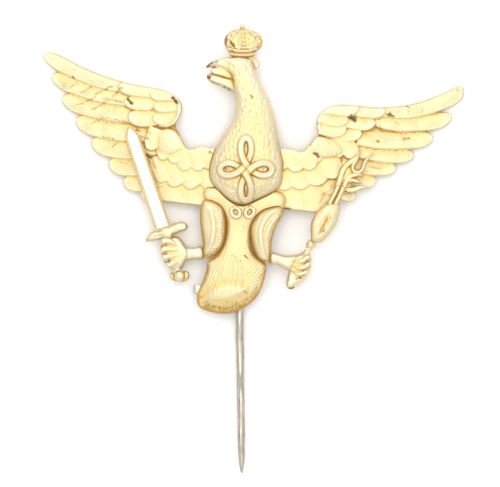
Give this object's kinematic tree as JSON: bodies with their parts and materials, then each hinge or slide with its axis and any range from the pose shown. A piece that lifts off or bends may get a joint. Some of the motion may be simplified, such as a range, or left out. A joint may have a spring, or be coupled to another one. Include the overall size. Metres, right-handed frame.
{
  "type": "cap badge",
  "caption": "Gilt struck-metal cap badge: crowned spread eagle holding a sword and a sceptre, ribbon knot on the breast, long fixed stick pin behind.",
  "frame": {"origin": "on the surface the badge lies on, under the middle of its outline, wing tip to wing tip and crown to pin point", "axes": "+Z out of the badge's face, +Y towards the crown, +X towards the viewer's right; the pin points along -Y"},
  "size_m": [0.0632, 0.0676, 0.0078],
  "materials": {
    "gilt_body": "pale satin gilding on struck brass, hair-fine feathering, dark patina in the hollows",
    "gilt_wing": "pale satin gilding on struck brass, brighter on the rubbed feather ridges, dark pits in the hollows",
    "gilt_tail": "pale satin gilding, deeper yellow in the striations, rubbed bright along the ridges",
    "gilt_relief": "pale satin gilding, rubbed on the high spots, dark in the gaps",
    "bright_blade": "smooth burnished gilding, lightly scratched",
    "pin_metal": "drawn nickel silver wire, grey with a warm brassy core of wear",
    "solder": "dull grey soft solder and tinned plate"
  },
  "bodies": {
    "root": {"body_shell": "gilt_body", "left_wing": "gilt_wing", "right_wing": "gilt_wing", "tail": "gilt_tail", "left_thigh": "gilt_body", "right_thigh": "gilt_body", "left_claw": "gilt_relief", "right_claw": "gilt_relief", "sword_blade": "bright_blade", "sword_guard": "gilt_relief", "sword_grip": "gilt_relief", "sword_pommel": "gilt_relief", "sceptre_knop": "gilt_relief", "sceptre_bulb": "gilt_relief", "sceptre_shaft": "gilt_relief", "sceptre_head": "gilt_relief", "sceptre_stick": "gilt_relief", "crown_cap": "gilt_relief", "crown_band": "gilt_relief", "crown_orb": "gilt_relief", "crown_ribbon": "gilt_relief", "breast_knot": "gilt_relief", "left_knot_loop": "gilt_relief", "right_knot_loop": "gilt_relief", "pin_needle": "pin_metal", "needle_saddle": "solder", "pin_plate": "solder", "pin_strap": "pin_metal"}
  },
  "joints": []
}
